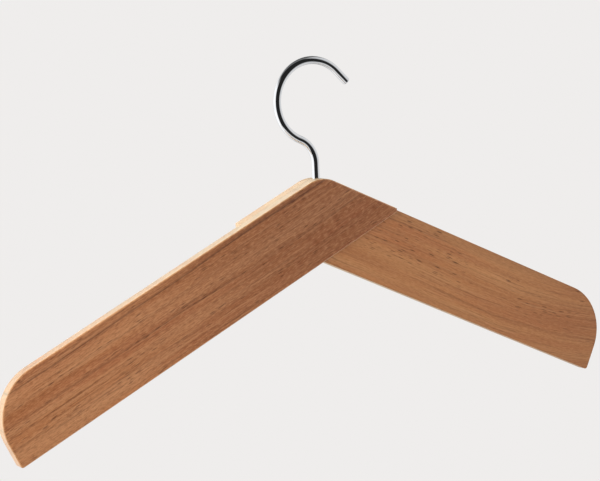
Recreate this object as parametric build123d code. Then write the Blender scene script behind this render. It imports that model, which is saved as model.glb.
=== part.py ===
from build123d import *
import os
from math import cos, pi, radians, sin, sqrt, tan

os.makedirs("parts", exist_ok=True)

# Clothes hanger made of two flat hardwood boards and one bent wire hook.
#
# The boards cross at the peak and are glued face to face, so the hanger is one board thick
# along each arm and two boards thick at the lap. The front board is the left arm and the rear
# board is the right arm. The hook's wire runs down a bore that lies half in each board, and a
# washer and a lock nut on its threaded end hold it in a blind pocket, so that it can swivel.
#
# Frame: the origin is the inner crown of the hook, where it sits on a rail. +Z is up, +X runs
# along the arms to the right and +Y points to the back. The glue plane is y = 0.

# ---- driving dimensions, mm and degrees ----
overall_width = 450.0      # tip to tip
arm_width = 50.0           # each board, square to its length
arm_thickness = 8.0
arm_slope = 25.2           # each arm falls this much below the horizontal
peak_radius = 22.0         # rounding of the peak, on both boards
tip_top_radius = 33.0      # rounding of the shoulder at the outer end
tip_bottom_radius = 1.8
blunt_offset = 56.1        # the sharp inner end of each board is cut off this far past the centre
face_arris = 1.2           # eased edge round the outer face
glue_arris = 0.25          # eased edge round the glued face

wire_diameter = 5.0
hook_radius = 26.0         # to the middle of the wire
hook_centre_height = 47.1  # above the virtual peak, where the two top edges would meet
hook_tip_angle = 45.0      # where the curl ends, above the horizontal on the open side
hook_tip_length = 11.0     # straight end after the curl
hook_tip_rounding = 0.9
neck_corner_height = 18.6  # where the slanting wire and the shank would meet
neck_radius = 17.0         # bend between them, to the middle of the wire

bore_clearance = 0.08      # radial, round the turning shank
bore_mouth_chamfer = 0.5
pocket_top = -28.0         # heights below are from the virtual peak
pocket_height = 14.0
pocket_width = 16.0
pocket_depth = 5.2         # into each board
pocket_corner_radius = 2.5

washer_diameter = 10.0
washer_hole_diameter = 5.3
washer_thickness = 1.0
washer_play = 0.2          # gap above the washer that lets the hook turn

thread_pitch = 0.8
thread_depth = 0.43
thread_length = 8.8
thread_past_nut = 1.8
end_chamfer = 0.6

nut_across_flats = 8.0
nut_height = 5.0
nut_hex_height = 3.7
nut_hex_chamfer_angle = 30.0
nut_collar_radius = 3.6
nut_collar_rounding = 0.5
insert_outer_radius = 3.2
insert_height = 1.0
insert_lip = 0.3           # turned-in rim that keeps the insert in
insert_lip_radius = 2.8

dowel_diameter = 6.0
dowel_length = 11.0
dowel_chamfer = 0.6
dowel_hole_depth = 6.0
dowel_offset = 28.0        # from the centre line
flute_count = 12
flute_radius = 0.45

# ---- derived dimensions ----
slope = radians(arm_slope)
wire_radius = wire_diameter / 2
bore_radius = wire_radius + bore_clearance
saddle_height = hook_centre_height + hook_radius - wire_radius

# The rounded shoulder is the widest point, so its arc's far side lies at half the overall width.
shoulder_centre_x = overall_width / 2 - tip_top_radius
arm_length = (shoulder_centre_x + tip_top_radius * sin(slope)) / cos(slope) + tip_top_radius
lower_edge_drop = arm_width / cos(slope)
peak_top = -peak_radius * (1 / cos(slope) - 1)
lap_middle = -lower_edge_drop / 2

washer_top = pocket_top - washer_play
nut_top = washer_top - washer_thickness
nut_bottom = nut_top - nut_height
shank_bottom = nut_bottom - thread_past_nut
thread_top = shank_bottom + thread_length


def on_arm(along, across):
    """A point (x, z) of the right arm: along its top edge from the virtual peak, and across it."""
    return (
        along * cos(slope) - across * sin(slope),
        -along * sin(slope) - across * cos(slope),
    )


def make_rear_arm():
    """The right arm, whose glued face is y = 0 and whose inner end follows the left arm's top."""
    peak = (0, 0)
    shoulder = on_arm(arm_length, 0)
    lower_tip = on_arm(arm_length, arm_width)
    blunt_low = (-blunt_offset, blunt_offset * tan(slope) - lower_edge_drop)
    blunt_high = (-blunt_offset, -blunt_offset * tan(slope))
    with BuildPart() as arm:
        with BuildSketch(Plane.XZ) as outline:
            with BuildLine():
                Polyline(peak, shoulder, lower_tip, blunt_low, blunt_high, close=True)
            make_face()
            for corner, radius in (
                (peak, peak_radius),
                (shoulder, tip_top_radius),
                (lower_tip, tip_bottom_radius),
            ):
                # A sketch's vertices are in its own plane, so a corner's height is its second value.
                fillet(outline.vertices().sort_by_distance(Vector(*corner, 0))[0], radius)
        extrude(amount=-arm_thickness)
        fillet(arm.faces().sort_by(Axis.Y)[-1].edges(), face_arris)
        fillet(arm.faces().sort_by(Axis.Y)[0].edges(), glue_arris)
    return arm.part - make_hook_cavity() - make_dowel_holes()


def make_hook_cavity():
    """Bore for the shank, its eased mouth, and the pocket that holds the washer and the nut."""
    bore = Pos(0, 0, pocket_top) * Cylinder(
        bore_radius, -pocket_top, align=(Align.CENTER, Align.CENTER, Align.MIN)
    )
    mouth = Pos(0, 0, peak_top - bore_mouth_chamfer) * Cone(
        bore_radius,
        bore_radius + bore_mouth_chamfer,
        bore_mouth_chamfer,
        align=(Align.CENTER, Align.CENTER, Align.MIN),
    )
    opening = Plane.XZ * Pos(0, pocket_top - pocket_height / 2) * RectangleRounded(
        pocket_width, pocket_height, pocket_corner_radius
    )
    pocket = extrude(opening, amount=pocket_depth, both=True)
    return bore + mouth + pocket


def make_dowel_holes():
    """Two blind holes in the glued face."""
    hole = Rot(X=90) * Cylinder(dowel_diameter / 2, 2 * dowel_hole_depth)
    return Pos(-dowel_offset, 0, lap_middle) * hole + Pos(dowel_offset, 0, lap_middle) * hole


def make_wire():
    """The bent wire from the top of its thread to its tip, swept along straights and arcs."""
    centre = Vector(0, 0, hook_centre_height)
    neck_corner = Vector(0, 0, neck_corner_height)
    up = Vector(0, 0, 1)
    right = Vector(1, 0, 0)
    # The slanting wire is a tangent from the neck corner to the curl.
    reach = hook_centre_height - neck_corner_height
    tangent_length = sqrt(reach**2 - hook_radius**2)
    tangent_x = tangent_length * hook_radius / reach
    tangent_z = neck_corner_height + tangent_length**2 / reach
    curl_start = Vector(-tangent_x, 0, tangent_z)
    # The bend takes the same length off the slanting wire and off the shank.
    up_slant = (curl_start - neck_corner).normalized()
    turn = radians(up_slant.get_angle(up))
    setback = neck_radius * tan(turn / 2)
    bend_low = neck_corner - up * setback
    bend_high = neck_corner + up_slant * setback
    bend_centre = bend_low - right * neck_radius
    bend_middle = bend_centre + Vector(cos(turn / 2), 0, sin(turn / 2)) * neck_radius
    tip_turn = radians(hook_tip_angle)
    curl_top = centre + up * hook_radius
    curl_end = centre + Vector(cos(tip_turn), 0, sin(tip_turn)) * hook_radius
    tip_direction = Vector(sin(tip_turn), 0, -cos(tip_turn))
    with BuildLine() as path:
        Line(up * thread_top, bend_low)
        ThreePointArc(bend_low, bend_middle, bend_high)
        Line(bend_high, curl_start)
        ThreePointArc(curl_start, curl_top, curl_end)
    spine = path.wires()[0]
    tube = sweep(Plane(origin=up * thread_top) * Circle(wire_radius), path=spine)
    print("wire length above the thread", round(spine.length + hook_tip_length, 1))
    print("sweep volume over section times length", tube.volume / (pi * wire_radius**2 * spine.length))
    end = Cylinder(wire_radius, hook_tip_length, align=(Align.CENTER, Align.CENTER, Align.MIN))
    end = fillet(end.edges().sort_by(Axis.Z)[-1], hook_tip_rounding)
    return tube + Plane(origin=curl_end, z_dir=tip_direction) * end


def make_thread():
    """The threaded end as a turned profile, with ring grooves of the thread's pitch and depth."""
    root = wire_radius - thread_depth
    points = [(0, thread_top), (wire_radius, thread_top)]
    height = thread_top - thread_pitch / 2
    while height > shank_bottom + end_chamfer + thread_pitch:
        points.append((wire_radius, height))
        points.append((root, height - thread_pitch * 0.4))
        points.append((root, height - thread_pitch * 0.5))
        points.append((wire_radius, height - thread_pitch * 0.9))
        height -= thread_pitch
    points.append((wire_radius, shank_bottom + end_chamfer))
    points.append((wire_radius - end_chamfer, shank_bottom))
    points.append((0, shank_bottom))
    profile = make_face(Plane.XZ * Polyline(*points, close=True))
    return revolve(profile, Axis.Z)


def make_hook():
    """One piece of wire, bent at the top and threaded at the bottom."""
    return make_wire() + make_thread()


def make_washer():
    """Flat washer that bears on the top of the pocket."""
    ring = Circle(washer_diameter / 2) - Circle(washer_hole_diameter / 2)
    washer = Pos(0, 0, nut_top) * extrude(ring, amount=washer_thickness)
    return chamfer(washer.edges().filter_by(GeomType.CIRCLE).group_by(SortBy.RADIUS)[-1], 0.15)


def make_lock_nut():
    """Hexagon nut with a collar below it, recessed for the insert."""
    hexagon = extrude(RegularPolygon(nut_across_flats / 2, 6, major_radius=False), nut_hex_height)
    # A cone that just trims the six upper points gives the usual chamfered hexagon.
    corner_radius = nut_across_flats / sqrt(3)
    drop = (corner_radius - nut_across_flats / 2) * tan(radians(nut_hex_chamfer_angle))
    blank = make_face(
        Plane.XZ
        * Polyline(
            (0, 0),
            (corner_radius, 0),
            (corner_radius, nut_hex_height - drop),
            (nut_across_flats / 2, nut_hex_height),
            (0, nut_hex_height),
            close=True,
        )
    )
    hexagon = hexagon & revolve(blank, Axis.Z)
    collar_height = nut_height - nut_hex_height
    collar = Pos(0, 0, -collar_height) * Cylinder(
        nut_collar_radius, collar_height, align=(Align.CENTER, Align.CENTER, Align.MIN)
    )
    collar = fillet(collar.edges().sort_by(Axis.Z)[0], nut_collar_rounding)
    nut = Pos(0, 0, nut_top - nut_hex_height) * (hexagon + collar)
    bore = Pos(0, 0, nut_bottom) * Cylinder(
        wire_radius, nut_height, align=(Align.CENTER, Align.CENTER, Align.MIN)
    )
    seat = Pos(0, 0, nut_bottom + insert_lip) * Cylinder(
        insert_outer_radius, insert_height, align=(Align.CENTER, Align.CENTER, Align.MIN)
    )
    rim = Pos(0, 0, nut_bottom) * Cylinder(
        insert_lip_radius, insert_lip, align=(Align.CENTER, Align.CENTER, Align.MIN)
    )
    return nut - bore - seat - rim


def make_nut_insert():
    """Plastic ring in the nut's collar that grips the thread."""
    ring = Circle(insert_outer_radius) - Circle(wire_radius)
    return Pos(0, 0, nut_bottom + insert_lip) * extrude(ring, amount=insert_height)


def make_dowel(side):
    """Fluted dowel across the glue plane; side is -1 for the left one and 1 for the right one."""
    dowel = Cylinder(dowel_diameter / 2, dowel_length)
    dowel = chamfer(dowel.edges().filter_by(GeomType.CIRCLE), dowel_chamfer)
    flutes = PolarLocations(dowel_diameter / 2, flute_count) * Cylinder(flute_radius, dowel_length)
    dowel = dowel - flutes
    return Pos(side * dowel_offset, 0, lap_middle) * Rot(X=90) * dowel


# ---- the pieces, moved from the virtual peak to the rail saddle and written out ----
rear_arm = make_rear_arm()
pieces = {
    "rear_arm": rear_arm,
    "front_arm": Rot(Z=180) * rear_arm,
    "hook": make_hook(),
    "hook_washer": make_washer(),
    "lock_nut": make_lock_nut(),
    "lock_nut_insert": make_nut_insert(),
    "left_dowel": make_dowel(-1),
    "right_dowel": make_dowel(1),
}
for name, piece in pieces.items():
    export_step(Pos(0, 0, -saddle_height) * piece, f"parts/{name}.step")
    print(name, round(piece.volume, 2), "mm3")
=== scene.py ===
# %% [markdown]
# # A clothes hanger made of two crossed boards
#
# This hanger is two flat hardwood boards that cross at the peak and are glued face to face, and
# one bent, chrome-plated wire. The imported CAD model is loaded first. It holds every piece at its
# true size and place, so all positions below are read from it, in metres, with +Z up and the
# origin at the hook's inner crown, where it would sit on a rail.
#
# The boards and the hook are what a person sees, so they are modelled here with clean, round
# edges. The small pieces hidden in the joint keep their CAD meshes and get real finishes.

# %% Load the frame
from math import atan2, cos, pi, radians, sin, sqrt, tan

import bmesh
import bpy
from mathutils import Matrix, Vector


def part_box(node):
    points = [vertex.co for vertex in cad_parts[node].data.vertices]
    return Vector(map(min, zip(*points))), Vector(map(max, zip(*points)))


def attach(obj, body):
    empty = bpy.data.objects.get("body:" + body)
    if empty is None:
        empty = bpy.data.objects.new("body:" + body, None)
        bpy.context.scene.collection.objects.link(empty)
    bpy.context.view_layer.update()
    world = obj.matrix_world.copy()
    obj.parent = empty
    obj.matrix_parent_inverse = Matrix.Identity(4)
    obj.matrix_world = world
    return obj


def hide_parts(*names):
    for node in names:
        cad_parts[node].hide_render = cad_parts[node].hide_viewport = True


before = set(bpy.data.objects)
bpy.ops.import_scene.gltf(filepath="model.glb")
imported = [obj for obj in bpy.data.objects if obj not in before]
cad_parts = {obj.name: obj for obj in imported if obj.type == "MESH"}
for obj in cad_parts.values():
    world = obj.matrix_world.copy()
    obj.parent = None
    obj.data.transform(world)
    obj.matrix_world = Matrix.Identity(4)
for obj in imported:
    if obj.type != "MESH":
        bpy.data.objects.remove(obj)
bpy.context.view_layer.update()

MM = 0.001

# %% [markdown]
# ## The sizes
#
# What can be read from the frame is read from it: how thick a board is, how wide the hanger is
# and where the blunt inner end lies. A box can't say how far the arms slope or how round a
# corner is, so those few design values are repeated here from the drawing.

# %% Board and wire sizes
arm_low, arm_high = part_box("rear_arm")
hook_low, hook_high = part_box("hook")

ARM_SLOPE = radians(25.2)
ARM_WIDTH = 50 * MM
ARM_THICKNESS = arm_high.y - arm_low.y
PEAK_RADIUS = 22 * MM
TIP_TOP_RADIUS = 33 * MM
TIP_BOTTOM_RADIUS = 1.8 * MM
FACE_ARRIS = 1.2 * MM
GLUE_ARRIS = 0.25 * MM

# The origin is the hook's inner crown, so the wire's top is one wire diameter above it.
WIRE_RADIUS = hook_high.z / 2
HOOK_RADIUS = 26 * MM
SADDLE_HEIGHT = 70.6 * MM

# The peak is where the arms' top edges would meet if it weren't rounded.
PEAK = Vector((0, 0, -SADDLE_HEIGHT))
ALONG = Vector((cos(ARM_SLOPE), 0, -sin(ARM_SLOPE)))
OUTWARD = Vector((sin(ARM_SLOPE), 0, cos(ARM_SLOPE)))
shoulder_centre_x = arm_high.x - TIP_TOP_RADIUS
ARM_LENGTH = (shoulder_centre_x + TIP_TOP_RADIUS * sin(ARM_SLOPE)) / cos(ARM_SLOPE)
ARM_LENGTH += TIP_TOP_RADIUS
print("arm length", round(ARM_LENGTH / MM, 2), "thickness", round(ARM_THICKNESS / MM, 2))


def on_arm(along, across):
    """A point on the right arm's outline, at the glue plane."""
    return PEAK + ALONG * along - OUTWARD * across


# %% [markdown]
# ## Working in edit mode without a mouse
#
# By hand you would click a corner and press a key. In a script, what you click is found by its
# place instead. `pick` leaves selected only what passes a test, and each operator then acts on
# that selection. Everything is deselected before a new primitive is added, because the loaded
# CAD nodes start out selected.

# %% Selection helpers
def new_primitive(add, name, **settings):
    """Adds a primitive by itself, and gives it its place in its own mesh."""
    bpy.ops.object.select_all(action="DESELECT")
    add(**settings)
    piece = bpy.context.active_object
    piece.name = piece.data.name = name
    bpy.ops.object.transform_apply(location=True, rotation=True, scale=True)
    return piece


def work_on(piece):
    """Makes the piece the only selected object, and the active one."""
    bpy.ops.object.select_all(action="DESELECT")
    piece.select_set(True)
    bpy.context.view_layer.objects.active = piece


def pick(piece, kind, test):
    """In edit mode, selects only the vertices, edges or faces whose corners all pass the test."""
    bpy.ops.mesh.select_mode(type=kind)
    bpy.ops.mesh.select_all(action="DESELECT")
    shape = bmesh.from_edit_mesh(piece.data)
    parts = {"VERT": shape.verts, "EDGE": shape.edges, "FACE": shape.faces}[kind]
    picked = 0
    for part in parts:
        corners = [part] if kind == "VERT" else part.verts
        if all(test(corner.co) for corner in corners):
            part.select_set(True)
            picked += 1
    shape.select_flush_mode()
    bmesh.update_edit_mesh(piece.data)
    return picked


def near(point, reach=0.02 * MM):
    """A test for being on the line through a point that runs front to back."""
    return lambda co: (Vector((co.x, 0, co.z)) - Vector((point.x, 0, point.z))).length < reach


def in_plane_y(y, reach=0.01 * MM):
    """A test for lying in a plane parallel to the boards' faces."""
    return lambda co: abs(co.y - y) < reach


def apply_modifier(piece, kind, **settings):
    """Adds a modifier, and bakes it into the mesh."""
    work_on(piece)
    modifier = piece.modifiers.new(kind, kind)
    for name, value in settings.items():
        setattr(modifier, name, value)
    bpy.ops.object.modifier_apply(modifier=modifier.name)


# %% [markdown]
# ## The rear board
#
# A joiner would plane a strip, cut it to length, mitre the inner end and round the corners with
# a saw and a sander. The same steps work here. The board starts as a box that already lies at the
# arm's slope. Two bisect cuts trim its inner end, one along the other arm's top edge and one
# that blunts the sharp corner, and bevels round the corners. It could be one outline drawn point
# by point, but cuts and bevels keep every radius a number that can be changed.

# %% Cut the strip to shape
INNER_SPARE = 50 * MM
strip_length = ARM_LENGTH + INNER_SPARE
strip_middle = on_arm((ARM_LENGTH - INNER_SPARE) / 2, ARM_WIDTH / 2)
strip_middle.y = ARM_THICKNESS / 2
rear_board = new_primitive(
    bpy.ops.mesh.primitive_cube_add,
    "rear_board",
    size=1,
    location=strip_middle,
    rotation=(0, ARM_SLOPE, 0),
    scale=(strip_length, ARM_THICKNESS, ARM_WIDTH),
)
bpy.ops.object.mode_set(mode="EDIT")
other_arm_outward = (-sin(ARM_SLOPE), 0, cos(ARM_SLOPE))
blunt_end = Vector((arm_low.x, 0, PEAK.z))
for point, direction in ((PEAK, other_arm_outward), (blunt_end, (-1, 0, 0))):
    bpy.ops.mesh.select_all(action="SELECT")
    bpy.ops.mesh.bisect(plane_co=point, plane_no=direction, use_fill=True, clear_outer=True)
print("faces after the two cuts:", len(bmesh.from_edit_mesh(rear_board.data).faces))

# %% [markdown]
# The shoulder and the lower tip are right angles, where a bevel with profile 0.5 is a true arc.
# The peak is wider than a right angle. There a bevel's offset is the radius times the tangent of
# half the turn, and the profile is raised a little so that the curve keeps its round shape.

# %% Round the three corners
PEAK_PROFILE = 0.54
corners = (
    ("peak", PEAK, PEAK_RADIUS * tan(ARM_SLOPE), 16, PEAK_PROFILE),
    ("shoulder", on_arm(ARM_LENGTH, 0), TIP_TOP_RADIUS, 40, 0.5),
    ("lower tip", on_arm(ARM_LENGTH, ARM_WIDTH), TIP_BOTTOM_RADIUS, 8, 0.5),
)
for title, corner, offset, segments, profile in corners:
    count = pick(rear_board, "EDGE", near(corner))
    bpy.ops.mesh.bevel(offset=offset, segments=segments, profile=profile, affect="EDGES")
    print(title, "edges bevelled:", count)

# %% [markdown]
# A sanded board has no sharp edges. The outer face's edges are eased by a bit over a millimetre,
# and they catch the light as a thin bright line. The glued face's edges are only broken, so
# that the two boards meet in a hairline.

# %% Ease the edges
for y, arris, segments in ((ARM_THICKNESS, FACE_ARRIS, 5), (0, GLUE_ARRIS, 2)):
    count = pick(rear_board, "EDGE", in_plane_y(y))
    bpy.ops.mesh.bevel(offset=arris, segments=segments, profile=0.5, affect="EDGES")
    print("eased", count, "edges at y =", round(y / MM, 1), "mm")
bpy.ops.object.mode_set(mode="OBJECT")

# %% [markdown]
# ## The hook's bore, its pocket and the dowel holes
#
# Half of the bore and half of the pocket are milled into each board before they are glued. The
# cutters are simple solids, each taken away from the board by a Boolean. Only the bore's mouth
# shows in the end, as a fine dark ring round the wire, but the hidden part has to be there too:
# without it the nut would sit inside solid wood and cut through it as the hook turns.

# %% Make the cutters and cut
BORE_RADIUS = 2.58 * MM
MOUTH_CHAMFER = 0.5 * MM
POCKET = Vector((16, 10.4, 14)) * MM
POCKET_CORNER = 2.5 * MM
POCKET_TOP = PEAK.z - 28 * MM
dowel_low, dowel_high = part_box("right_dowel")
dowel_middle = (dowel_low + dowel_high) / 2
DOWEL_RADIUS = 3 * MM
DOWEL_HOLE_DEPTH = 6 * MM
CUTTER_SPARE = 1 * MM
ROUND_SIDES = 48


def bore_cutters():
    """The straight bore, and the cone that eases its mouth."""
    top = arm_high.z
    length = top + CUTTER_SPARE - POCKET_TOP
    bore = new_primitive(
        bpy.ops.mesh.primitive_cylinder_add, "bore_cutter", vertices=ROUND_SIDES,
        radius=BORE_RADIUS, depth=length, location=(0, 0, POCKET_TOP + length / 2),
    )
    mouth = new_primitive(
        bpy.ops.mesh.primitive_cone_add, "mouth_cutter", vertices=ROUND_SIDES,
        radius1=BORE_RADIUS * 0.98, radius2=BORE_RADIUS + 2 * MOUTH_CHAMFER,
        depth=2 * MOUTH_CHAMFER, location=(0, 0, top),
    )
    return [bore, mouth]


def pocket_cutter():
    """A box whose corners are as round as the milling cutter that made them."""
    pocket = new_primitive(
        bpy.ops.mesh.primitive_cube_add, "pocket_cutter", size=1,
        location=(0, 0, POCKET_TOP - POCKET.z / 2), scale=POCKET,
    )
    bpy.ops.object.mode_set(mode="EDIT")
    for x in (-POCKET.x / 2, POCKET.x / 2):
        for z in (POCKET_TOP, POCKET_TOP - POCKET.z):
            pick(pocket, "EDGE", near(Vector((x, 0, z))))
            bpy.ops.mesh.bevel(offset=POCKET_CORNER, segments=8, affect="EDGES")
    bpy.ops.object.mode_set(mode="OBJECT")
    return pocket


def dowel_cutters():
    """Two short cylinders that run front to back."""
    return [
        new_primitive(
            bpy.ops.mesh.primitive_cylinder_add, "dowel_cutter", vertices=ROUND_SIDES,
            radius=DOWEL_RADIUS, depth=2 * DOWEL_HOLE_DEPTH, rotation=(pi / 2, 0, 0),
            location=(side * dowel_middle.x, 0, dowel_middle.z),
        )
        for side in (-1, 1)
    ]


for cutter in [*bore_cutters(), pocket_cutter(), *dowel_cutters()]:
    apply_modifier(rear_board, "BOOLEAN", operation="DIFFERENCE", solver="EXACT", object=cutter)
    bpy.data.objects.remove(cutter)

# Where two cutters meet, the Booleans leave points a hair apart. They are merged into one.
MERGE_REACH = 0.001 * MM
work_on(rear_board)
bpy.ops.object.mode_set(mode="EDIT")
bpy.ops.mesh.select_all(action="SELECT")
bpy.ops.mesh.remove_doubles(threshold=MERGE_REACH)
bpy.ops.mesh.dissolve_degenerate(threshold=MERGE_REACH)
bpy.ops.object.mode_set(mode="OBJECT")
print("rear board faces:", len(rear_board.data.polygons))

# %% [markdown]
# ## The front board
#
# The front board is the rear board turned half round about the shank, so it is a copy with its
# own mesh. Both then get a face attribute that marks the eased edges, which the oil finish reads
# later, and weighted normals, so that the big flat faces shade flat right up to their edges.

# %% Copy, mark and smooth the boards
work_on(rear_board)
bpy.ops.object.duplicate()
front_board = bpy.context.active_object
front_board.name = front_board.data.name = "front_board"
front_board.rotation_euler.z = pi
bpy.ops.object.transform_apply(rotation=True)


def mark_faces(board, along):
    """Marks the eased edges, the narrow sides, and how much each face cuts across the grain."""
    marks = {"arris": [], "side": [], "end_grain": []}
    for face in board.data.polygons:
        lean = abs(face.normal.y)
        is_arris = 0.08 < lean < 0.98 and abs(face.center.y) > ARM_THICKNESS / 2
        marks["arris"].append(float(is_arris))
        marks["side"].append(float(lean < 0.6))
        marks["end_grain"].append(abs(face.normal.dot(along)))
    for name, values in marks.items():
        attribute = board.data.attributes.new(name, "FLOAT", "FACE")
        attribute.data.foreach_set("value", values)
    return int(sum(marks["arris"]))


def smooth(piece, degrees):
    """Smooth shading, except across edges sharper than the given angle."""
    work_on(piece)
    bpy.ops.object.shade_smooth_by_angle(angle=radians(degrees))


for board, along in ((rear_board, ALONG), (front_board, Vector((-ALONG.x, 0, ALONG.z)))):
    print(board.name, "eased faces:", mark_faces(board, along))
    smooth(board, 35)
    apply_modifier(board, "WEIGHTED_NORMAL", keep_sharp=True)

# %% [markdown]
# ## The hook
#
# The hook is cold-bent from one length of wire, so it is made the way a wire bender makes it: a
# ring is fed upwards by extruding it, and swung round a centre by spinning it wherever the wire
# bends. A curve with a round bevel would also do, but spinning gives exact radii and keeps the
# rings square to the wire, which polished metal needs, because it shows every uneven face.

# %% Where the wire runs
RINGS_ROUND = 40
curl_centre = Vector((0, 0, WIRE_RADIUS - HOOK_RADIUS))
NECK_CORNER = PEAK + Vector((0, 0, 18.6 * MM))
NECK_RADIUS = 17 * MM
TIP_ANGLE = radians(45)
TIP_LENGTH = 11 * MM
TIP_ROUNDING = 0.9 * MM

reach = curl_centre.z - NECK_CORNER.z
slant_angle = atan2(HOOK_RADIUS, sqrt(reach**2 - HOOK_RADIUS**2))
slant = Vector((-sin(slant_angle), 0, cos(slant_angle)))
setback = NECK_RADIUS * tan(slant_angle / 2)
slant_length = sqrt(reach**2 - HOOK_RADIUS**2) - setback
curl_turn = pi + slant_angle - TIP_ANGLE
print("bend", round(slant_angle * 180 / pi, 1), "curl", round(curl_turn * 180 / pi, 1), "degrees")

# %% [markdown]
# The bottom end carries the thread that the lock nut runs on. It is hidden in the wood, so the
# thread is a row of turned grooves of the right pitch and depth. Each groove is the same four
# moves: pull the ring up while it narrows, up, up while it widens, and up along the crest.

# %% Feed and turn the wire
THREAD_PITCH = 0.8 * MM
THREAD_ROOT = (WIRE_RADIUS - 0.43 * MM) / WIRE_RADIUS
THREAD_TURNS = 10
END_CHAMFER = 0.6 * MM


def feed(direction, length):
    """Extrudes the selected ring along a direction."""
    bpy.ops.mesh.extrude_region_move(TRANSFORM_OT_translate={"value": direction * length})


def widen(factor, centre):
    """Scales the selected ring about its own centre."""
    bpy.ops.transform.resize(value=(factor, factor, factor), center_override=centre)


def ring_centre(piece):
    """The middle of the selected ring."""
    corners = [v.co for v in bmesh.from_edit_mesh(piece.data).verts if v.select]
    return sum(corners, Vector()) / len(corners)


up = Vector((0, 0, 1))
start_radius = WIRE_RADIUS - END_CHAMFER
hook_wire = new_primitive(
    bpy.ops.mesh.primitive_circle_add, "hook_wire", vertices=RINGS_ROUND,
    radius=start_radius, fill_type="NOTHING", location=(0, 0, hook_low.z),
)
bpy.ops.object.mode_set(mode="EDIT")
bpy.ops.mesh.select_mode(type="EDGE")
bpy.ops.mesh.select_all(action="SELECT")
feed(up, END_CHAMFER)
widen(WIRE_RADIUS / start_radius, ring_centre(hook_wire))
for turn in range(THREAD_TURNS):
    for rise, factor in ((0.4, THREAD_ROOT), (0.1, 1), (0.4, 1 / THREAD_ROOT), (0.1, 1)):
        feed(up, rise * THREAD_PITCH)
        widen(factor, ring_centre(hook_wire))
bend_low = NECK_CORNER - up * setback
feed(up, bend_low.z - ring_centre(hook_wire).z)
print("thread and shank end at z =", round(ring_centre(hook_wire).z / MM, 2), "mm")

# %% [markdown]
# Two bends follow. The neck turns the wire to the left, and the curl carries it over the top and
# down again on the right. A positive angle turns the ring anticlockwise as seen from the front.

# %% Bend the neck and the curl
NECK_STEPS = 16
CURL_STEPS = 96
bend_centre = bend_low - Vector((NECK_RADIUS, 0, 0))
bpy.ops.mesh.spin(steps=NECK_STEPS, angle=slant_angle, axis=(0, 1, 0), center=bend_centre)
feed(slant, slant_length)
bpy.ops.mesh.spin(steps=CURL_STEPS, angle=-curl_turn, axis=(0, 1, 0), center=curl_centre)
tip_direction = Vector((sin(TIP_ANGLE), 0, -cos(TIP_ANGLE)))
print("curl ends at", [round(c / MM, 2) for c in ring_centre(hook_wire)])

# %% Draw out the tip, round it and close both ends
ROUNDING_STEPS = 5
feed(tip_direction, TIP_LENGTH - TIP_ROUNDING)
radius_now = WIRE_RADIUS
for step in range(1, ROUNDING_STEPS + 1):
    low, high = (pi / 2 * k / ROUNDING_STEPS for k in (step - 1, step))
    feed(tip_direction, TIP_ROUNDING * (sin(high) - sin(low)))
    radius_next = WIRE_RADIUS - TIP_ROUNDING * (1 - cos(high))
    widen(radius_next / radius_now, ring_centre(hook_wire))
    radius_now = radius_next
bpy.ops.mesh.edge_face_add()
pick(hook_wire, "EDGE", lambda co: co.z < hook_low.z + 0.01 * MM)
bpy.ops.mesh.edge_face_add()
bpy.ops.mesh.select_all(action="SELECT")
bpy.ops.mesh.remove_doubles(threshold=MERGE_REACH)
bpy.ops.mesh.normals_make_consistent(inside=False)
bpy.ops.object.mode_set(mode="OBJECT")
smooth(hook_wire, 35)
for axis in (0, 2):
    made = [v.co[axis] / MM for v in hook_wire.data.vertices]
    cad = [hook_low[axis] / MM, hook_high[axis] / MM]
    cad_says = [round(c, 2) for c in cad]
    print("xyz"[axis], "wire", round(min(made), 2), round(max(made), 2), "CAD", cad_says)

# %% [markdown]
# ## Finishes: building nodes in code
#
# A finish is a small machine made of nodes. `put` adds one node to a tree, sets its options and
# joins its inputs. `Sheet` keeps the tree at hand and gives short names for the sums that come up
# again and again, so that a recipe below reads nearly like a sentence.

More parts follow.
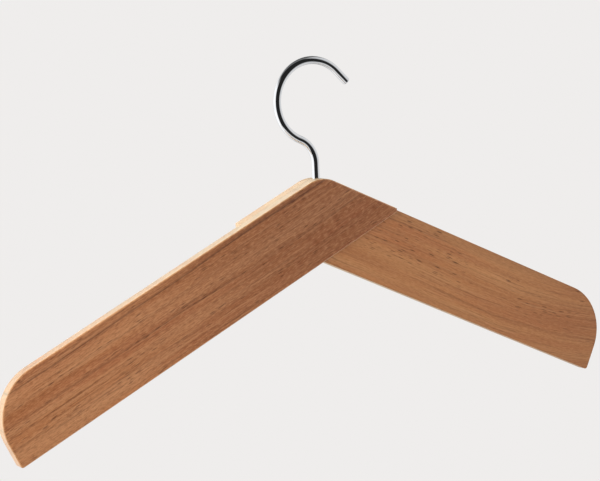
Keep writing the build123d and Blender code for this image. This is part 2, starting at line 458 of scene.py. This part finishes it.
# %% Node helpers
class Sheet:
    """A node tree with short ways to add to it."""

    def __init__(self, tree):
        self.tree = tree

    def put(self, kind, inputs=None, **options):
        """Adds a node. Inputs are values, or sockets of other nodes to link from."""
        made = self.tree.nodes.new(kind)
        made.location.x = 190 * (len(self.tree.nodes) % 12)
        made.location.y = -230 * (len(self.tree.nodes) // 12)
        for name, value in options.items():
            setattr(made, name, value)
        for name, value in (inputs or {}).items():
            if isinstance(value, bpy.types.NodeSocket):
                self.tree.links.new(value, made.inputs[name])
            else:
                made.inputs[name].default_value = value
        return made

    def sum(self, operation, a, b=0.0, c=0.0):
        """One step of arithmetic."""
        inputs = {0: a, 1: b} if operation != "MULTIPLY_ADD" else {0: a, 1: b, 2: c}
        return self.put("ShaderNodeMath", inputs, operation=operation).outputs[0]

    def stretch(self, vector, lengths):
        """Divides a vector by three lengths, so that a pattern is that long along each axis."""
        inputs = {0: vector, 1: lengths}
        return self.put("ShaderNodeVectorMath", inputs, operation="DIVIDE").outputs[0]

    def noise(self, vector, lengths, detail=2.0, roughness=0.5):
        """Cloudy noise whose lumps are about as large as the lengths."""
        inputs = {"Vector": self.stretch(vector, lengths), "Scale": 1.0}
        inputs |= {"Detail": detail, "Roughness": roughness}
        return self.put("ShaderNodeTexNoise", inputs).outputs["Fac"]

    def remap(self, value, low, high, to_low=0.0, to_high=1.0, smooth=True):
        """Turns the range low to high into a new range, and holds it there outside."""
        inputs = {"Value": value, "From Min": low, "From Max": high}
        inputs |= {"To Min": to_low, "To Max": to_high}
        kind = "SMOOTHSTEP" if smooth else "LINEAR"
        return self.put("ShaderNodeMapRange", inputs, interpolation_type=kind).outputs[0]

    def mix(self, amount, a, b, blend="MIX"):
        """Mixes two colours."""
        made = self.put("ShaderNodeMix", data_type="RGBA", blend_type=blend)
        for index, value in ((0, amount), (6, a), (7, b)):
            if isinstance(value, bpy.types.NodeSocket):
                self.tree.links.new(value, made.inputs[index])
            else:
                made.inputs[index].default_value = value
        return made.outputs[2]


def new_group(name, inputs, outputs):
    """A node group with its sockets, and a sheet to draw it on."""
    tree = bpy.data.node_groups.new(name, "ShaderNodeTree")
    for title, kind, default in inputs:
        socket = tree.interface.new_socket(title, in_out="INPUT", socket_type=kind)
        if default is not None:
            socket.default_value = default
    for title, kind in outputs:
        tree.interface.new_socket(title, in_out="OUTPUT", socket_type=kind)
    sheet = Sheet(tree)
    entry = sheet.put("NodeGroupInput").outputs
    return sheet, entry


def rgb(red, green, blue):
    """A colour written as a paint chart gives it, 0 to 255, in the linear light of shaders."""
    def linear(value):
        value /= 255
        return value / 12.92 if value <= 0.04045 else ((value + 0.055) / 1.055) ** 2.4
    return (linear(red), linear(green), linear(blue), 1)


FLOAT, VECTOR, COLOUR = "NodeSocketFloat", "NodeSocketVector", "NodeSocketColor"

# %% [markdown]
# ## The grain of the boards
#
# Wood is a solid pattern that a saw cuts through, so the grain is worked out in three dimensions
# and every edge and end shows the same rings as the face beside it. The group works in
# millimetres along, through and across a board. It gives the masks for:
#
# - bands: broad, slow changes of colour from one year to the next
# - streaks: strands of fibres, much longer than they are wide
# - flecks: the fine, short speckle of cut fibres
# - relief: a dark hairline with a pale one beside it, where a strand ends, lit like a fine ridge:
#   the pale one a painted highlight, the dark one partly painted shade (dark is above zero)
# - lines: the dark late wood that ends a year's ring, each ring with its own strength
# - pores: short dark dashes where vessels are cut open, in clusters
# - mottle: soft cross-figure that makes planed hardwood shimmer
# - red: wide patches where the heartwood is redder
#
# The grain wanders a little, and towards the tip it can turn away from the board's length, as it
# does where a branch grew nearby. Depth is the height across the board with that wander in it,
# for a line that a board has in one place.

# %% The grain group
grain, given = new_group(
    "board_grain",
    [
        ("Place", VECTOR, None), ("Log Offset", VECTOR, (0, 0, 0)), ("Ring Gap", FLOAT, 7.0),
        ("Wander", FLOAT, 3.0), ("Wander Length", FLOAT, 90.0), ("Tip Turn", FLOAT, 0.0),
        ("Pore Amount", FLOAT, 0.5),
    ],
    [
        (name, FLOAT) for name in (
            "Bands", "Streaks", "Flecks", "Relief", "Lines", "Pores", "Mottle", "Red", "Depth",
        )
    ],
)
TURN_START = 165
axes = grain.put("ShaderNodeSeparateXYZ", {"Vector": given["Place"]}).outputs
past = grain.sum("SUBTRACT", grain.sum("ABSOLUTE", axes["X"]), TURN_START)
past = grain.sum("MAXIMUM", past, 0)
turn = grain.sum("MULTIPLY", grain.sum("MULTIPLY", past, past), given["Tip Turn"])
in_log = grain.put(
    "ShaderNodeVectorMath", {0: given["Place"], 1: given["Log Offset"]}, operation="ADD"
).outputs[0]
wander_lengths = grain.put(
    "ShaderNodeCombineXYZ", {"X": given["Wander Length"], "Y": 25, "Z": 26}
).outputs[0]
wander = grain.sum("SUBTRACT", grain.noise(in_log, wander_lengths, 3), 0.5)
wander = grain.sum("MULTIPLY", grain.sum("MULTIPLY", wander, 2), given["Wander"])
shift = grain.sum("SUBTRACT", wander, turn)
bowed = grain.put(
    "ShaderNodeVectorMath",
    {0: in_log, 1: grain.put("ShaderNodeCombineXYZ", {"Z": shift}).outputs[0]},
    operation="ADD",
).outputs[0]

bands = grain.remap(grain.noise(bowed, (240, 14, 9), 3), 0.34, 0.66)
red = grain.remap(grain.noise(bowed, (170, 20, 13), 2), 0.42, 0.68)
streaks = grain.remap(grain.noise(bowed, (90, 4.5, 3.2), 3, 0.6), 0.34, 0.66)
flecks = grain.remap(grain.noise(bowed, (4.0, 0.8, 0.75), 2, 0.6), 0.30, 0.70)

# The relief compares the strands at a point with the strands a hair's breadth above it, which
# lights one side of each strand's end and shades the other: a painted highlight and painted shade.
STRAND = (60, 5, 2.4)
HAIR = (2, 0, 0.7)
above = grain.put("ShaderNodeVectorMath", {0: bowed, 1: HAIR}, operation="ADD").outputs[0]
here, there = (grain.noise(point, STRAND, 3, 0.62) for point in (bowed, above))
step = grain.sum("SUBTRACT", here, there)
figured = grain.remap(grain.noise(bowed, (80, 12, 9), 1), 0.35, 0.62, 0.35, 1)
relief = grain.sum("MULTIPLY", grain.remap(step, -0.16, 0.16, -1, 1, smooth=False), figured)

log_axes = grain.put("ShaderNodeSeparateXYZ", {"Vector": bowed}).outputs
ring = grain.sum("MULTIPLY_ADD", log_axes["Y"], 0.3, log_axes["Z"])
ring = grain.sum("DIVIDE", ring, given["Ring Gap"])
ring = grain.sum("ADD", ring, grain.noise(bowed, (300, 30, 30), 1))
ring_strength = grain.put(
    "ShaderNodeTexWhiteNoise", {"W": grain.sum("FLOOR", ring)}, noise_dimensions="1D"
).outputs["Value"]
to_line = grain.sum("FRACT", ring)
lines = grain.remap(to_line, 0.0, 0.09, 1, 0)
before = grain.remap(to_line, 0.7, 1.0, 0, 0.3)
lines = grain.sum("MAXIMUM", lines, before)
broken = grain.remap(grain.noise(bowed, (110, 7, 4), 2), 0.34, 0.60)
lines = grain.sum("MULTIPLY", grain.sum("MULTIPLY", lines, ring_strength), broken)

cells = grain.put(
    "ShaderNodeTexVoronoi", {"Vector": grain.stretch(bowed, (7.5, 1.0, 0.95)), "Scale": 1.0}
).outputs
chance = grain.put("ShaderNodeSeparateColor", {"Color": cells["Color"]}).outputs["Red"]
clusters = grain.noise(bowed, (42, 9, 7), 2)
chosen = grain.remap(grain.sum("MULTIPLY_ADD", chance, 0.35, clusters), 0.74, 0.84)
open_at = grain.sum("MULTIPLY", chosen, given["Pore Amount"])
pores = grain.sum("MULTIPLY", grain.remap(cells["Distance"], 0.16, 0.44, 1, 0), open_at)
mottle = grain.noise(bowed, (2.6, 9, 8), 2)
depth = grain.sum("ADD", axes["Z"], shift)
grain.put("NodeGroupOutput", {
    "Bands": bands, "Streaks": streaks, "Flecks": flecks, "Relief": relief, "Lines": lines,
    "Pores": pores, "Mottle": mottle, "Red": red, "Depth": depth,
})
print("grain group nodes:", len(grain.tree.nodes))

# %% [markdown]
# ## The edges of an oiled board
#
# The narrow sides are painted paler than the faces, most of all near the peak: a painted
# highlight for the strong light that grazes them.
# Handling rubs the eased edges paler and warmer still. Where a saw cut across the grain, at the
# rounded tips and the blunt inner ends, the open vessels drink more oil and dry darker. The masks
# come from attributes on the boards' own faces.

# %% The edge group
edges, given = new_group(
    "board_edges",
    [
        ("Colour", COLOUR, None), ("Place", VECTOR, None), ("Worn Colour", COLOUR, None),
        ("Side Highlight Colour", COLOUR, None), ("End Colour", COLOUR, None), ("Wear", FLOAT, 0.3),
    ],
    [("Colour", COLOUR), ("Dull", FLOAT)],
)
is_arris = edges.put("ShaderNodeAttribute", attribute_name="arris").outputs["Fac"]
is_end = edges.put("ShaderNodeAttribute", attribute_name="end_grain").outputs["Fac"]
is_side = edges.put("ShaderNodeAttribute", attribute_name="side").outputs["Fac"]
# These patches break up both the real wear on the eased edges and the painted highlight on the sides.
wear_and_highlight_patches = edges.remap(edges.noise(given["Place"], (14, 6, 14), 3), 0.25, 0.6, 0.65, 1)
worn = edges.sum("MULTIPLY", edges.sum("MULTIPLY", is_arris, wear_and_highlight_patches), given["Wear"])
vessels = edges.put(
    "ShaderNodeTexVoronoi", {"Vector": edges.stretch(given["Place"], (3, 0.5, 0.5)), "Scale": 1.0}
).outputs["Distance"]
thirst = edges.remap(vessels, 0.1, 0.6, 1, 0.55)
drunk = edges.sum("MULTIPLY", edges.remap(is_end, 0.45, 1.0), thirst)
along_board = edges.put("ShaderNodeSeparateXYZ", {"Vector": given["Place"]}).outputs["X"]
from_peak = edges.sum("ABSOLUTE", along_board)
# The narrow sides' painted highlight, stronger nearer the peak.
side_highlight = edges.sum("MULTIPLY", wear_and_highlight_patches, edges.remap(from_peak, 40, 240, 0.62, 0.45))
side_highlight = edges.sum("MULTIPLY", is_side, side_highlight)
out = edges.mix(side_highlight, given["Colour"], given["Side Highlight Colour"])
out = edges.mix(edges.sum("MULTIPLY", drunk, 0.35), out, given["End Colour"])
out = edges.mix(worn, out, given["Worn Colour"])
edges.put("NodeGroupOutput", {"Colour": out, "Dull": edges.sum("MULTIPLY", drunk, 0.15)})

# %% [markdown]
# ## Two boards from two planks
#
# The two boards have the same finish but not the same figure. The front one was sawn nearly
# across the rings: its grain runs straight, with one long dark line near the upper edge and a
# redder, darker stretch towards the peak. The rear one was sawn along them: it is smoother, its
# grain is wavier and lies in dark strands near the upper edge, and it turns level at the tip.
#
# Object coordinates are in metres on the whole hanger. A Mapping node of type Texture takes them
# to the board's own frame in millimetres: x along it, y through it and z down from its top edge.

# %% The board material
def board_material(name, lean, figure, colours, strengths):
    """An oiled hardwood board. `lean` turns the grain to the board's slope."""
    material = bpy.data.materials.new(name)
    material.use_nodes = True
    sheet = Sheet(material.node_tree)
    shader = material.node_tree.nodes["Principled BSDF"]
    coordinates = sheet.put("ShaderNodeTexCoord").outputs["Object"]
    place = sheet.put(
        "ShaderNodeMapping",
        {"Vector": coordinates, "Location": PEAK, "Rotation": (0, lean, 0), "Scale": (MM, MM, MM)},
        vector_type="TEXTURE",
    ).outputs[0]
    group = sheet.put("ShaderNodeGroup", node_tree=bpy.data.node_groups["board_grain"])
    sheet.tree.links.new(place, group.inputs["Place"])
    for title, value in figure.items():
        group.inputs[title].default_value = value
    masks = group.outputs

    colour = sheet.mix(masks["Bands"], colours["light"], colours["mid"])
    red = sheet.sum("MULTIPLY", masks["Red"], strengths["red"])
    colour = sheet.mix(red, colour, colours["red"])

    # A slow darkening towards one edge or one end.
    axes = sheet.put("ShaderNodeSeparateXYZ", {"Vector": place}).outputs
    ramp = sheet.remap(axes["X"], *strengths["dark along"], smooth=False)
    drop = sheet.remap(axes["Z"], *strengths["dark across"], smooth=False)
    shade = sheet.sum("MAXIMUM", ramp, drop)
    colour = sheet.mix(sheet.sum("MULTIPLY", shade, strengths["shade"]), colour, colours["dark"])

    streaks = sheet.remap(masks["Streaks"], 0, 0.8, strengths["streaks"], 0, smooth=False)
    flecks = sheet.remap(masks["Flecks"], 0, 0.55, strengths["flecks"], 0, smooth=False)
    colour = sheet.mix(sheet.sum("ADD", streaks, flecks), colour, colours["dark"])
    pale = sheet.remap(masks["Flecks"], 0.55, 1, 0, strengths["pale"], smooth=False)
    # Relief: the pale side is a painted highlight, the dark side a grain hairline with painted shade.
    hair_highlights = sheet.remap(masks["Relief"], -0.12, -0.9, 0, strengths["relief"])
    dark_hairs_and_shade = sheet.remap(masks["Relief"], 0.12, 0.9, 0, strengths["relief"])
    colour = sheet.mix(sheet.sum("MAXIMUM", pale, hair_highlights), colour, colours["pale"])
    colour = sheet.mix(dark_hairs_and_shade, colour, colours["line"])
    lines = sheet.sum("MULTIPLY", masks["Lines"], strengths["lines"])
    colour = sheet.mix(lines, colour, colours["line"])

    # A year's ring that shows along the whole board: it darkens slowly, then ends sharply.
    from_peak = sheet.sum("ABSOLUTE", axes["X"])
    for peak_height, tip_height, width, at_peak, at_tip in strengths["long lines"]:
        height = sheet.remap(from_peak, 50, 130, peak_height, tip_height)
        offset = sheet.sum("SUBTRACT", masks["Depth"], height)
        line = sheet.sum(
            "MULTIPLY", sheet.remap(offset, 0, width, 1, 0), sheet.remap(offset, -0.6, 0, 0, 1)
        )
        line = sheet.sum("MULTIPLY", line, sheet.remap(from_peak, 40, 150, at_peak, at_tip))
        line = sheet.sum("MULTIPLY", line, sheet.remap(masks["Streaks"], 0, 1, 1, 0.6))
        colour = sheet.mix(line, colour, colours["line"])
    glow = sheet.remap(masks["Mottle"], 0.3, 0.7, 0, strengths["mottle"])
    colour = sheet.mix(glow, colour, colours["light"])
    figured = sheet.remap(axes["Z"], *strengths["pores across"], 0.1, 1)
    pores = sheet.sum("MULTIPLY", sheet.sum("MULTIPLY", masks["Pores"], strengths["pores"]), figured)
    colour = sheet.mix(pores, colour, colours["pore"])

    edge = sheet.put("ShaderNodeGroup", node_tree=bpy.data.node_groups["board_edges"])
    for title, value in (("Colour", colour), ("Place", place)):
        sheet.tree.links.new(value, edge.inputs[title])
    edge.inputs["Worn Colour"].default_value = colours["worn"]
    # The side colour is the painted highlight on the narrow sides.
    edge.inputs["Side Highlight Colour"].default_value = colours["side"]
    edge.inputs["End Colour"].default_value = colours["end"]
    sheet.tree.links.new(edge.outputs["Colour"], shader.inputs["Base Color"])

    gloss = sheet.remap(masks["Flecks"], 0, 1, 0.52, 0.42, smooth=False)
    gloss = sheet.sum("ADD", gloss, sheet.sum("MULTIPLY", masks["Pores"], 0.25))
    gloss = sheet.sum("ADD", gloss, edge.outputs["Dull"])
    sheet.tree.links.new(gloss, shader.inputs["Roughness"])
    height = sheet.sum("SUBTRACT", sheet.sum("MULTIPLY", masks["Flecks"], 0.35), masks["Pores"])
    bump = sheet.put("ShaderNodeBump", {"Strength": 0.35, "Distance": 0.15 * MM, "Height": height})
    sheet.tree.links.new(bump.outputs[0], shader.inputs["Normal"])
    shader.inputs["Coat Weight"].default_value = 0.35
    shader.inputs["Coat Roughness"].default_value = 0.38
    return material


# %% [markdown]
# The two ramps below are read in the board's own millimetres. A board's face lies from 0 down to
# -50 across, so a ramp that starts above it never shows.

# %% Mix the two boards' colours
NEVER_ACROSS = (20, 30)
front_wood = board_material(
    "front_board_oiled_wood", -ARM_SLOPE,
    figure={
        "Log Offset": (310, 44, 33), "Ring Gap": 9.0, "Wander": 1.6, "Wander Length": 120,
        "Tip Turn": 0.0, "Pore Amount": 0.85,
    },
    colours={
        "light": rgb(208, 144, 96), "mid": rgb(189, 119, 70), "red": rgb(172, 92, 47),
        "dark": rgb(110, 51, 12), "line": rgb(86, 43, 20), "pore": rgb(70, 34, 16),
        # side is the narrow sides' painted highlight; pale also paints the relief's highlight.
        "pale": rgb(212, 156, 108), "worn": rgb(232, 176, 118), "side": rgb(208, 197, 162),
        "end": rgb(196, 146, 96),
    },
    strengths={
        "red": 0.7, "dark along": (-180, -20), "dark across": NEVER_ACROSS, "shade": 0.58,
        "streaks": 0.16, "flecks": 0.34, "pale": 0.38, "relief": 0.36, "lines": 0.5,
        "mottle": 0.10, "pores": 0.7, "pores across": (-60, -52),
        "long lines": (
            (-3.6, -5.6, 4.2, 0.45, 0.02), (-3.6, -5.6, 1.0, 0.8, 0.8),
            (-26.0, -24.0, 1.2, 0.4, 0.5), (-37.0, -38.5, 1.0, 0.25, 0.35),
        ),
    },
)
rear_wood = board_material(
    "rear_board_oiled_wood", ARM_SLOPE,
    figure={
        "Log Offset": (-120, -60, 71.0), "Ring Gap": 5.5, "Wander": 2.6, "Wander Length": 70,
        "Tip Turn": 0.0012, "Pore Amount": 1.0,
    },
    colours={
        "light": rgb(199, 138, 86), "mid": rgb(185, 120, 70), "red": rgb(178, 105, 59),
        "dark": rgb(118, 66, 34), "line": rgb(100, 54, 27), "pore": rgb(72, 35, 16),
        # side is the narrow sides' painted highlight; pale also paints the relief's highlight.
        "pale": rgb(206, 154, 108), "worn": rgb(232, 172, 104), "side": rgb(206, 194, 158),
        "end": rgb(190, 134, 86),
    },
    strengths={
        "red": 0.6, "dark along": (150, 300), "dark across": (-9, -1), "shade": 0.3,
        "streaks": 0.16, "flecks": 0.2, "pale": 0.22, "relief": 0.34, "lines": 0.3,
        "mottle": 0.10, "pores": 0.75, "pores across": (-40, -22),
        "long lines": ((-7.5, -7.0, 0.9, 0.7, 0.2), (-15.0, -16.0, 0.8, 0.4, 0.2)),
    },
)
for board, wood, slot in (
    (rear_board, rear_wood, "rear_arm_wood"), (front_board, front_wood, "front_arm_wood"),
):
    board.data.materials.clear()
    board.data.materials.append(wood)
    print(board.name, "wears", wood.name)

# %% [markdown]
# ## Metal, nylon and dowels
#
# The hook is polished and chrome plated. Chrome has no colour of its own, so what is seen in it
# is the studio. What makes it real is that the polish isn't perfect: faint smudges and drawing
# lines change its roughness. The same smudge group dulls the zinc-plated washer and nut and the
# nylon insert, with larger amounts.

# %% The smudge group
smudge, given = new_group(
    "smudges",
    [("Place", VECTOR, None), ("Size", FLOAT, 6.0), ("Clean", FLOAT, 0.06), ("Smudged", FLOAT, 0.16)],
    [("Roughness", FLOAT), ("Cloud", FLOAT), ("Fine", FLOAT)],
)
blot_size = smudge.put(
    "ShaderNodeCombineXYZ", {"X": given["Size"], "Y": given["Size"], "Z": given["Size"]}
).outputs[0]
cloud = smudge.noise(given["Place"], blot_size, 4, 0.6)
fine = smudge.noise(given["Place"], (0.35, 0.35, 0.35), 2)
amount = smudge.remap(smudge.sum("MULTIPLY_ADD", fine, 0.25, cloud), 0.45, 0.8)
rough = smudge.put("ShaderNodeMapRange", {
    "Value": amount, "To Min": given["Clean"], "To Max": given["Smudged"],
}).outputs[0]
smudge.put("NodeGroupOutput", {"Roughness": rough, "Cloud": cloud, "Fine": fine})


def smudged_material(name, colours, metallic, size, clean, smudged, bump_height):
    """A smooth hard surface with faint smudges."""
    material = bpy.data.materials.new(name)
    material.use_nodes = True
    sheet = Sheet(material.node_tree)
    shader = material.node_tree.nodes["Principled BSDF"]
    coordinates = sheet.put("ShaderNodeTexCoord").outputs["Object"]
    place = sheet.stretch(coordinates, (MM, MM, MM))
    group = sheet.put("ShaderNodeGroup", node_tree=bpy.data.node_groups["smudges"])
    sheet.tree.links.new(place, group.inputs["Place"])
    for title, value in (("Size", size), ("Clean", clean), ("Smudged", smudged)):
        group.inputs[title].default_value = value
    tint = sheet.mix(sheet.remap(group.outputs["Cloud"], 0.35, 0.65), *colours)
    bump = sheet.put("ShaderNodeBump", {
        "Strength": 0.3, "Distance": bump_height, "Height": group.outputs["Fine"],
    })
    for value, socket in (
        (tint, "Base Color"), (group.outputs["Roughness"], "Roughness"), (bump.outputs[0], "Normal"),
    ):
        sheet.tree.links.new(value, shader.inputs[socket])
    shader.inputs["Metallic"].default_value = metallic
    return material


# %% Chrome, zinc and nylon
chrome = smudged_material(
    "polished_chrome", (rgb(210, 211, 213), rgb(203, 205, 208)), 1.0, 7, 0.03, 0.08, 0.001 * MM
)
zinc = smudged_material(
    "zinc_plate", (rgb(170, 174, 182), rgb(188, 184, 168)), 1.0, 2.5, 0.28, 0.46, 0.02 * MM
)
nylon = smudged_material(
    "nylon_ring", (rgb(214, 216, 208), rgb(196, 200, 190)), 0.0, 2.0, 0.38, 0.55, 0.02 * MM
)
hook_wire.data.materials.clear()
hook_wire.data.materials.append(chrome)

# %% [markdown]
# The dowels are fluted beech pegs, pale and plain, with short brown flecks. They use the grain
# group of the boards at a smaller ring gap, turned so that the grain runs along the peg.

# %% Dowels
dowel_wood = bpy.data.materials.new("beech_dowel")
dowel_wood.use_nodes = True
sheet = Sheet(dowel_wood.node_tree)
shader = dowel_wood.node_tree.nodes["Principled BSDF"]
place = sheet.put(
    "ShaderNodeMapping",
    {
        "Vector": sheet.put("ShaderNodeTexCoord").outputs["Object"],
        "Location": dowel_middle, "Rotation": (0, 0, pi / 2), "Scale": (MM, MM, MM),
    },
    vector_type="TEXTURE",
).outputs[0]
group = sheet.put("ShaderNodeGroup", node_tree=bpy.data.node_groups["board_grain"])
sheet.tree.links.new(place, group.inputs["Place"])
PEG_FIGURE = {"Log Offset": (900, 0, 0), "Ring Gap": 2.2, "Wander": 0.3, "Pore Amount": 0.8}
for title, value in PEG_FIGURE.items():
    group.inputs[title].default_value = value
colour = sheet.mix(group.outputs["Streaks"], rgb(205, 168, 128), rgb(222, 190, 150))
colour = sheet.mix(sheet.sum("MULTIPLY", group.outputs["Lines"], 0.5), colour, rgb(180, 138, 100))
colour = sheet.mix(sheet.sum("MULTIPLY", group.outputs["Pores"], 0.6), colour, rgb(140, 98, 68))
sheet.tree.links.new(colour, shader.inputs["Base Color"])
rough = sheet.remap(group.outputs["Streaks"], 0, 1, 0.7, 0.58, smooth=False)
sheet.tree.links.new(rough, shader.inputs["Roughness"])
bump = sheet.put("ShaderNodeBump", {
    "Strength": 0.4, "Distance": 0.05 * MM, "Height": group.outputs["Streaks"],
})
sheet.tree.links.new(bump.outputs[0], shader.inputs["Normal"])

for name, finish in (
    ("hook_washer", zinc), ("lock_nut", zinc), ("lock_nut_insert", nylon),
    ("left_dowel", dowel_wood), ("right_dowel", dowel_wood),
):
    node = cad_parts[name]
    node = bpy.data.objects[node] if isinstance(node, str) else node
    for slot in node.material_slots:
        slot.material = finish
    print(name, "has", len(node.material_slots), "slot of", finish.name)

# %% [markdown]
# ## Camera
#
# The camera stands a little above the hanger and off to its left, with a long lens, and is
# tilted a little about its own axis.

# %% Place the camera
VIEW_TURN = radians(30)
VIEW_DROP = radians(7.07)
VIEW_ROLL = radians(-2.66)
VIEW_DISTANCE = 1.2084
LENS = 113.48
aim = Vector((-0.0139, 0, -0.1117))
level_forward = Vector((sin(VIEW_TURN), cos(VIEW_TURN), 0))
forward = level_forward * cos(VIEW_DROP) - Vector((0, 0, sin(VIEW_DROP)))
level_right = Vector((cos(VIEW_TURN), -sin(VIEW_TURN), 0))
level_up = level_right.cross(forward)
rolled_right = level_right * cos(VIEW_ROLL) + level_up * sin(VIEW_ROLL)
rolled_up = level_up * cos(VIEW_ROLL) - level_right * sin(VIEW_ROLL)
camera_data = bpy.data.cameras.new("camera")
camera_data.lens = LENS
camera_data.sensor_width = 36
camera_data.clip_end = 500
camera = bpy.data.objects.new("camera", camera_data)
camera.matrix_world = Matrix.Translation(aim - forward * VIEW_DISTANCE) @ Matrix(
    (rolled_right, rolled_up, -forward)
).transposed().to_4x4()
scene = bpy.context.scene
scene.collection.objects.link(camera)
scene.camera = camera
print("camera at", [round(c, 4) for c in camera.matrix_world.translation])

# %% [markdown]
# ## Studio
#
# The hanger hangs in an even, pale studio. Polished wire shows the whole room, so the room is
# laid out for it. A black card stands on the camera's side and gives the wire its dark core. The
# walls are white to the left and a little greyer to the right, and they give it bright lines. A
# dark ceiling darkens the crest of the curl. Camera rays don't see that room but one plain pale
# colour, and the floor has the same colour.
#
# Three soft lamps lift the wood without showing in the polished wire. Two more stand behind and
# to the left and shine along the boards' narrow sides. They are linked to the boards, because in
# the wire they would show as white patches.

# %% Sky
BACKDROP = (0.863, 0.847, 0.838, 1)
world = bpy.data.worlds.new("studio")
scene.world = world
world.use_nodes = True
world.node_tree.nodes.clear()
sky = Sheet(world.node_tree)
direction = sky.put("ShaderNodeTexCoord").outputs["Generated"]


def along(axis):
    """How far the looked-at direction points along an axis, from -1 to 1."""
    dot = sky.put("ShaderNodeVectorMath", {0: direction, 1: axis}, operation="DOT_PRODUCT")
    return dot.outputs["Value"]


to_camera = -level_forward
bearing = sky.sum("ARCTAN2", along(level_right), along(to_camera))
round_the_room = sky.remap(bearing, -pi, pi, smooth=False)
walls = sky.put("ShaderNodeValToRGB", {"Fac": round_the_room})

# Bearings run from behind the hanger, past the left, the camera and the right, in degrees. The
# second number is how bright the wall is there.
WALLS = (
    (-180, 0.25), (-162, 0.65), (-145, 1.30), (-112, 1.60), (-46, 1.60), (-41, 1.10), (-33, 0.08),
    (-27, 0.025), (66, 0.025), (76, 0.70), (86, 0.95), (130, 1.05), (160, 0.75), (180, 0.25),
)
SKY_TOP = 2.5
ramp = walls.color_ramp
while len(ramp.elements) < len(WALLS):
    ramp.elements.new(0.5)
for stop, (degrees, level) in zip(ramp.elements, WALLS):
    stop.position = (degrees + 180) / 360
    stop.color = (level / SKY_TOP, level / SKY_TOP, level / SKY_TOP, 1)
height = along((0, 0, 1))
level = sky.sum("MULTIPLY", walls.outputs["Color"], SKY_TOP)
CEILING, CEILING_BY_CAMERA, CEILING_BEHIND = 0.27, 0.025, 0.04
GROUND, GROUND_LEFT = 0.95, 1.35


def blend(amount, a, b):
    """Mixes two numbers."""
    return sky.put("ShaderNodeMix", {"Factor": amount, "A": a, "B": b}, data_type="FLOAT").outputs[0]


ceiling = sky.sum(
    "MINIMUM", sky.remap(along(to_camera), -0.05, 0.25, CEILING, CEILING_BY_CAMERA),
    sky.remap(along(to_camera), -0.15, -0.7, CEILING, CEILING_BEHIND),
)
not_right = sky.remap(along(level_right), 0.35, 0.65, 1, 0)
overhead = sky.sum("MULTIPLY", sky.remap(height, 0.40, 0.80), not_right)
level = blend(overhead, level, ceiling)
ground = sky.remap(along(level_right), -0.5, 0, GROUND_LEFT, GROUND)
level = blend(sky.remap(height, -0.68, -0.80), level, ground)
seen = sky.put("ShaderNodeLightPath").outputs["Is Camera Ray"]
colour = sky.mix(seen, sky.put("ShaderNodeCombineColor", {
    "Red": level, "Green": level, "Blue": level,
}).outputs[0], BACKDROP)
background = sky.put("ShaderNodeBackground", {"Color": colour})
sky.put("ShaderNodeOutputWorld", {"Surface": background.outputs[0]})

# %% [markdown]
# The floor lies well below the hanging object. It is lit so evenly that it has no shading of its
# own, so it is a plain glowing surface, and only the camera sees it.

# %% Floor
FLOOR_HEIGHT = -2.6
floor = new_primitive(
    bpy.ops.mesh.primitive_plane_add, "studio_floor", size=120, location=(0, 0, FLOOR_HEIGHT)
)
floor_material = bpy.data.materials.new("pale_floor")
floor_material.use_nodes = True
floor_material.node_tree.nodes.clear()
floor_sheet = Sheet(floor_material.node_tree)
glow = floor_sheet.put("ShaderNodeEmission", {"Color": BACKDROP})
floor_sheet.put("ShaderNodeOutputMaterial", {"Surface": glow.outputs[0]})
floor.data.materials.append(floor_material)
floor.visible_diffuse = False
floor.visible_glossy = False

# %% Lamps
def softbox(name, place, size, watts, only_for=None):
    """A square lamp that faces the middle of the hanger."""
    lamp = bpy.data.lights.new(name, "AREA")
    lamp.size = size
    lamp.energy = watts
    piece = bpy.data.objects.new(name, lamp)
    scene.collection.objects.link(piece)
    piece.location = place
    piece.rotation_euler = (aim - Vector(place)).to_track_quat("-Z", "Y").to_euler()
    piece.visible_glossy = only_for is not None
    if only_for is not None:
        piece.light_linking.receiver_collection = only_for
    return piece


boards = bpy.data.collections.new("lit_boards")
for board in (front_board, rear_board):
    boards.objects.link(board)
softbox("front_left_fill", (-1.2, -1.5, 0.3), 0.9, 14)
softbox("front_right_fill", (0.7, -1.7, 0.4), 0.9, 11.5)
softbox("top_light", (-0.9, 0.3, 1.2), 0.9, 16)
softbox("back_light", (0.0, 1.0, 1.25), 1.2, 12, boards)
softbox("back_left_light", (-1.5, 0.8, -0.3), 1.2, 9, boards)
scene.view_settings.view_transform = "Standard"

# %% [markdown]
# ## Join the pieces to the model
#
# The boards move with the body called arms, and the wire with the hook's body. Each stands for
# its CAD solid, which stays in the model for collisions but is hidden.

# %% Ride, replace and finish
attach(rear_board, "arms")
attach(front_board, "arms")
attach(hook_wire, "hook_assembly")
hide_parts("rear_arm")
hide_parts("front_arm")
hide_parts("hook")
